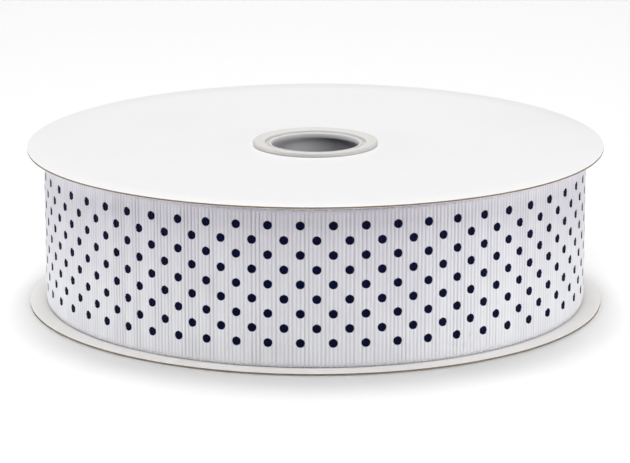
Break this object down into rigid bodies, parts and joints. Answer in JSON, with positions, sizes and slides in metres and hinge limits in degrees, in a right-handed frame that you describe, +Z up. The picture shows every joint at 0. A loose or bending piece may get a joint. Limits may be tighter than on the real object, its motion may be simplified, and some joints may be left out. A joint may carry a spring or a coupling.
{
  "type": "roll of decorative ribbon",
  "caption": "Wide white grosgrain ribbon with small navy polka dots, wound on a reel of thin card discs with a moulded plastic hub and an open bore.",
  "frame": {"origin": "centre of the reel's lowest face, where it stands, on the reel's axis", "axes": "+Z up along the reel's axis; -Y towards the pictured front; the outer turn's cut end lies at the back, +Y"},
  "size_m": [0.1432, 0.1432, 0.0402],
  "materials": {
    "ribbon": "woven polyester grosgrain with cross ribs, screen printed dots",
    "card": "coated white faces with a raw grey-brown cut edge",
    "hub_plastic": "moulded milky polypropylene"
  },
  "bodies": {
    "root": {"ribbon_winding": "ribbon", "card_disc_upper": "card", "card_disc_lower": "card", "hub_half_upper": "hub_plastic", "hub_half_lower": "hub_plastic"}
  },
  "joints": []
}
